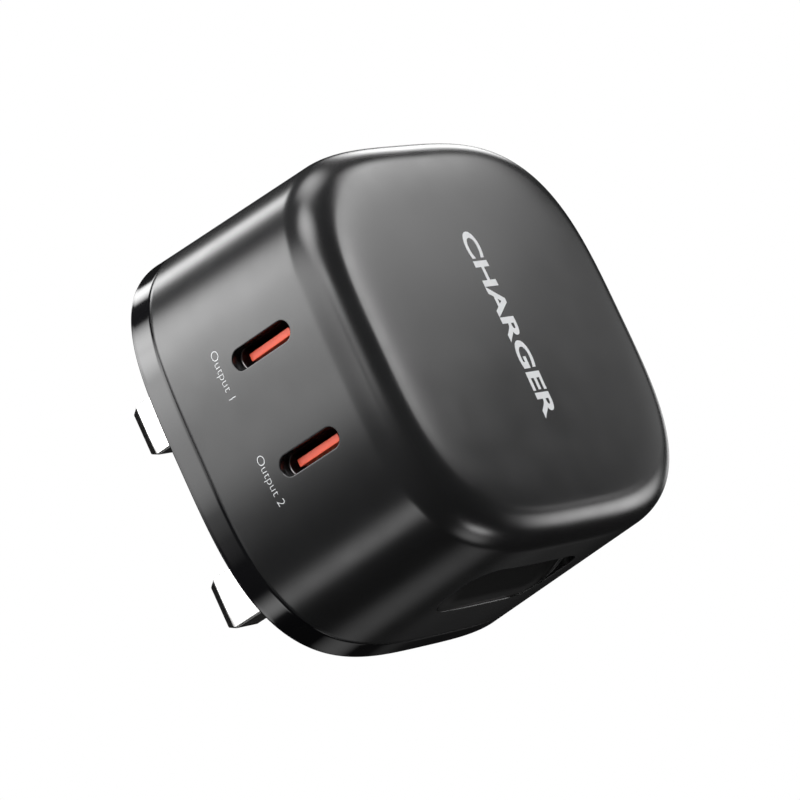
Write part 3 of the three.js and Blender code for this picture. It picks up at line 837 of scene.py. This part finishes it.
def metal(name, color, roughness, drawn=(1, 1, 1), height=0.000002, patches=0.05):
    """Metal with fine marks, which a small value in drawn stretches along that axis."""
    look = Look(name, color, roughness, metallic=1.0)
    look.vary_roughness(look.noise(0.0004, 2.0, drawn), patches)
    look.vary_color(look.noise(0.003, 2.0), tuple(c * 0.94 for c in color))
    return look.bump(look.noise(0.0002, 2.0, drawn), height).material


def make_materials():
    """Every look by its material slot, with the grip floor's painted shade and the ink's besides."""
    return {
        "shell": moulded("satin_shell", (0.0115, 0.0117, 0.012), 0.24, grain=0.0001, height=0.0000003),
        # Painted shade: the grip floor is far darker than the shell, standing in for the shadow its edge
        # casts.
        "painted_shade_floor": moulded("grip_floor_painted_shade", (0.002, 0.002, 0.002), 0.3, grain=0.0001, height=0.0000003),
        "gloss_rim": moulded("piano_gloss", (0.004, 0.004, 0.0045), 0.09, grain=0.004, height=0.000001),
        "panel": moulded("rear_panel_plastic", (0.008, 0.008, 0.0085), 0.5, grain=0.0002, height=0.00001),
        "black_plastic": moulded("black_plastic", (0.012, 0.012, 0.012), 0.42),
        "nickel": metal("bright_nickel", (0.9, 0.89, 0.88), 0.17, height=0.00000002, patches=0.01),
        "brass": metal("rolled_brass", (0.80, 0.58, 0.25), 0.28, drawn=(1, 1, 0.1)),
        "steel": metal("drawn_steel", (0.24, 0.23, 0.23), 0.36, drawn=(1, 1, 0.08)),
        "aluminium": metal("rolled_aluminium", (0.80, 0.80, 0.81), 0.34, drawn=(0.1, 1, 1)),
        "gold": metal("gold_flash", (0.90, 0.66, 0.28), 0.22),
        "orange_insulator": moulded("orange_insulator", (0.9, 0.12, 0.06), 0.42),
        "board": moulded("solder_mask", (0.01, 0.12, 0.045), 0.3, grain=0.0006, height=0.00001),
        "chip": moulded("epoxy_package", (0.015, 0.016, 0.018), 0.55),
        "ferrite": moulded("sintered_ferrite", (0.04, 0.04, 0.043), 0.6, grain=0.0003, height=0.00001),
        "tape": moulded("winding_tape", (0.78, 0.46, 0.02), 0.3, grain=0.0008, height=0.00001),
        "copper": metal("enamelled_wire", (0.72, 0.26, 0.08), 0.3, drawn=(0.2, 1, 1)),
        "film_box": moulded("capacitor_box", (0.72, 0.55, 0.06), 0.4),
        "ceramic": moulded("dipped_epoxy", (0.02, 0.10, 0.36), 0.35),
        "can_sleeve": moulded("shrink_sleeve", (0.012, 0.014, 0.018), 0.3),
        "thermal_pad": moulded("silicone_pad", (0.26, 0.34, 0.42), 0.8),
        "film_sheet": moulded("polyester_film", (0.68, 0.66, 0.58), 0.35),
        "ink": moulded("pale_grey_ink", (0.62, 0.63, 0.64), 0.5),
    }


# ---------- printing ----------


def printed(name, words, box, weight, lift, material):
    """Ink in a box (left, bottom, right, top) of the printed plane; lift(u, v, height) puts a point
    of that plane on the body. The weight thickens or thins the strokes."""
    raised, sunk = 0.015, -0.02
    curve = bpy.data.curves.new(name, "FONT")
    curve.body = words
    curve.extrude = 0.5
    curve.offset = weight
    curve.resolution_u = 5
    text = bpy.data.objects.new(name, curve)
    bpy.context.scene.collection.objects.link(text)
    bpy.context.view_layer.update()
    mesh = bpy.data.meshes.new_from_object(text.evaluated_get(bpy.context.evaluated_depsgraph_get()))
    bpy.data.objects.remove(text)
    points = np.array([v.co for v in mesh.vertices])
    low, high = points.min(0), points.max(0)
    left, bottom, right, top = box
    for vertex, (x, y, z) in zip(mesh.vertices, points):
        u = left + (x - low[0]) / (high[0] - low[0]) * (right - left)
        v = bottom + (y - low[1]) / (high[1] - low[1]) * (top - bottom)
        vertex.co = Vector(lift(u, v, raised if z > 0 else sunk)) * MM
    work = bmesh.new()
    work.from_mesh(mesh)
    bmesh.ops.remove_doubles(work, verts=work.verts, dist=1e-7)
    bmesh.ops.recalc_face_normals(work, faces=work.faces)
    work.to_mesh(mesh)
    work.free()
    mesh.materials.clear()
    mesh.materials.append(material)
    ink = bpy.data.objects.new(name, mesh)
    bpy.context.scene.collection.objects.link(ink)
    return place(ink, "shell")


def print_labels(ink):
    """A label beside each port, read along the row of ports, and a word across the front."""
    label_bottom, label_top = 9.78, 11.1
    thin, bold = -0.02, 0.028

    def below(u, v, height):
        return underside(u, -v, -height)

    first = (-8.95, label_bottom, -3.24, label_top)
    second = (3.73, label_bottom, 9.67, label_top)
    printed("port_label_1", "Output 1", first, thin, below, ink)
    printed("port_label_2", "Output 2", second, thin, below, ink)
    printed("front_word", "CHARGER", (-11.8, -0.4, 11.35, 2.1), bold, face_front, ink)


# ---------- pieces inside the case ----------


def finish_inner_parts(looks):
    """The CAD pieces inside the case keep their shape and get a fine edge and their material."""
    edge_width, sharpest_left = 0.06 * MM, math.radians(50)
    slots = {row["node"]: row["material_slot"] for row in frame["record"]["subparts"]}
    for node, thing in frame["nodes"].items():
        if thing.hide_render:
            continue
        edge = thing.modifiers.new("fine_edge", "BEVEL")
        edge.width = edge_width
        edge.segments = 2
        edge.limit_method = "ANGLE"
        edge.angle_limit = sharpest_left
        thing.data.materials.clear()
        thing.data.materials.append(looks[slots[node]])


# ---------- stage, light and camera ----------

FLOOR_Z = -1.2  # metres
AMBIENT = 0.01
LAMP_DISTANCE = 0.7  # metres


def seen_and_lit(tree, seen, lit):
    """A surface with one emission where the camera looks at it and another for the light it gives."""
    nodes, links = tree.nodes, tree.links
    rays = nodes.new("ShaderNodeLightPath")
    mix = nodes.new("ShaderNodeMixShader")
    links.new(rays.outputs["Is Camera Ray"], mix.inputs["Fac"])
    links.new(lit, mix.inputs[1])
    links.new(seen, mix.inputs[2])
    return mix.outputs["Shader"]


def stage_floor():
    """A pale floor far below, because the camera looks up at the charger's underside."""
    bpy.ops.mesh.primitive_circle_add(vertices=96, radius=6, fill_type="NGON", location=(0, 0, FLOOR_Z))
    floor = bpy.context.object
    floor.name = "floor"
    look = Look("pale_floor", (0.12, 0.12, 0.12), 0.9)
    glow = look.add("ShaderNodeEmission", Color=(1, 1, 1, 1))
    out = look.nodes["Material Output"]
    surface = seen_and_lit(look.material.node_tree, glow.outputs[0], look.shader.outputs[0])
    look.links.new(surface, out.inputs["Surface"])
    floor.data.materials.append(look.material)


def pale_world():
    """White behind the charger, but almost dark for its reflections."""
    world = bpy.data.worlds.new("studio")
    bpy.context.scene.world = world
    world.use_nodes = True
    nodes = world.node_tree.nodes
    nodes.clear()
    out = nodes.new("ShaderNodeOutputWorld")
    seen = nodes.new("ShaderNodeBackground")
    seen.inputs["Color"].default_value = (1, 1, 1, 1)
    lit = nodes.new("ShaderNodeBackground")
    lit.inputs["Color"].default_value = (AMBIENT, AMBIENT, AMBIENT, 1)
    surface = seen_and_lit(world.node_tree, seen.outputs[0], lit.outputs[0])
    world.node_tree.links.new(surface, out.inputs["Surface"])


def softbox(name, toward, size, radiance, plateau=1.0):
    """A rectangular light that faces the charger from a direction. It fades to nothing at its edges. A
    plateau above 1 keeps the middle of its first side evenly bright."""
    toward = Vector(toward).normalized()
    data = bpy.data.lights.new(name, "AREA")
    data.shape = "RECTANGLE"
    data.size, data.size_y = size
    data.energy = radiance * math.pi * size[0] * size[1]
    data.use_nodes = True
    nodes, links = data.node_tree.nodes, data.node_tree.links

    def arithmetic(operation, first, second):
        """A maths node for two inputs, each a number or another node's output."""
        node = nodes.new("ShaderNodeMath")
        node.operation = operation
        for socket, value in zip(node.inputs, (first, second)):
            if isinstance(value, float):
                socket.default_value = value
            else:
                links.new(value, socket)
        return node

    across = nodes.new("ShaderNodeSeparateXYZ")
    links.new(nodes.new("ShaderNodeNewGeometry").outputs["Parametric"], across.inputs["Vector"])
    fades = []
    to_one = 4.0  # brings the hump x(1 - x), whose top is a quarter, to 1
    for axis, gain in (("X", to_one * plateau), ("Y", to_one)):
        rest = arithmetic("SUBTRACT", 1.0, across.outputs[axis])
        hump = arithmetic("MULTIPLY", across.outputs[axis], rest.outputs[0])
        fade = arithmetic("MULTIPLY", hump.outputs[0], gain)
        fade.use_clamp = True
        fades.append(fade.outputs[0])
    links.new(arithmetic("MULTIPLY", *fades).outputs[0], nodes["Emission"].inputs["Strength"])
    lamp = bpy.data.objects.new(name, data)
    bpy.context.scene.collection.objects.link(lamp)
    facing = toward.to_track_quat("Z", "Y").to_matrix().to_4x4()
    lamp.matrix_world = Matrix.Translation(toward * LAMP_DISTANCE) @ facing
    lamp.visible_camera = False


def light_studio():
    """Each softbox makes one of the highlights; sizes are in metres."""
    softbox("key_behind_left", (-0.60, 0.58, -0.55), (0.34, 0.34), 10)
    softbox("key_low", (-0.33, 0.52, -0.79), (0.40, 0.40), 1.2)
    softbox("key_long", (-0.45, 0.00, -0.89), (1.3, 0.44), 5.2, plateau=2.5)
    softbox("key_front_edge", (-0.36, -0.74, -0.56), (0.26, 0.26), 7.5)
    softbox("edge_left", (-0.80, 0.58, 0.14), (0.36, 0.26), 7.5)
    softbox("front_left", (-0.47, -0.55, 0.69), (0.40, 0.30), 6.6)
    softbox("front_left_low", (-0.27, -0.77, 0.57), (0.20, 0.20), 9.5)
    softbox("rim_left", (-0.60, 0.15, 0.79), (0.30, 0.30), 6)
    softbox("rim_right", (-0.05, 0.20, 0.97), (0.24, 0.24), 2)
    softbox("left_wall", (-0.92, -0.25, 0.15), (0.5, 0.5), 5.5)
    softbox("broad_fill", (-0.75, -0.50, -0.43), (0.5, 0.5), 10)
    softbox("front_middle", (0.14, -0.60, 0.79), (0.14, 0.14), 2.5)
    softbox("front_right", (0.42, -0.46, 0.78), (0.30, 0.30), 4.5)
    softbox("front_right_top", (0.34, -0.31, 0.89), (0.34, 0.34), 4)
    softbox("front_top", (-0.10, -0.40, 0.91), (0.34, 0.34), 0.9)
    softbox("low_right", (0.63, 0.47, -0.62), (0.25, 0.25), 3.4)
    softbox("edge_right", (0.72, 0.58, 0.38), (0.34, 0.34), 0.5)
    softbox("grip_glow", (0.38, 0.51, 0.78), (0.18, 0.18), 0.1)
    softbox("pin_glow", (-0.05, 0.66, -0.75), (0.26, 0.26), 0.9)
    softbox("side_strip", (0.92, -0.35, 0.15), (0.2, 0.3), 8)
    softbox("right_wall", (0.99, 0.00, 0.10), (0.4, 0.4), 2)


def camera():
    """The charger is seen from below, in front and a little to the right, turned on its side. The
    three directions are those of the picture, and the place is in metres."""
    right = Vector((0.4097, -0.6705, 0.6186))
    down = Vector((0.8867, 0.4519, -0.0974))
    forward = Vector((-0.2142, 0.5884, 0.7797))
    place_of_eye = Vector((0.1020, -0.29103, -0.3702))
    data = bpy.data.cameras.new("camera")
    data.sensor_width = 36
    data.lens = 190.3
    data.clip_start, data.clip_end = 0.01, 20
    eye = bpy.data.objects.new("camera", data)
    bpy.context.scene.collection.objects.link(eye)
    turn = Matrix((right, -down, -forward)).transposed().to_4x4()
    eye.matrix_world = Matrix.Translation(place_of_eye) @ turn
    bpy.context.scene.camera = eye


# ---------- assembly ----------

bpy.context.scene.view_settings.view_transform = "Standard"
looks = make_materials()
camera()
front_shell(looks["shell"], looks["painted_shade_floor"])
rear_cover(looks["gloss_rim"], looks["panel"])
blade("line_pin_plated", "line_pin", looks["nickel"], "nickel", PIN_NECK)
blade("neutral_pin_plated", "neutral_pin", looks["nickel"], "nickel", PIN_NECK)
blade("earth_pin_moulded", "earth_pin", looks["black_plastic"], "black_plastic", 0.0)
sleeve("line_pin_sleeve_moulded", "line_pin_sleeve", looks["black_plastic"])
sleeve("neutral_pin_sleeve_moulded", "neutral_pin_sleeve", looks["black_plastic"])
for number in PORTS:
    usb_shell(number, looks["steel"])
    usb_tongue(number, looks["orange_insulator"])
    usb_contacts(number, looks["gold"])
print_labels(looks["ink"])
finish_inner_parts(looks)
stage_floor()
pale_world()
light_studio()
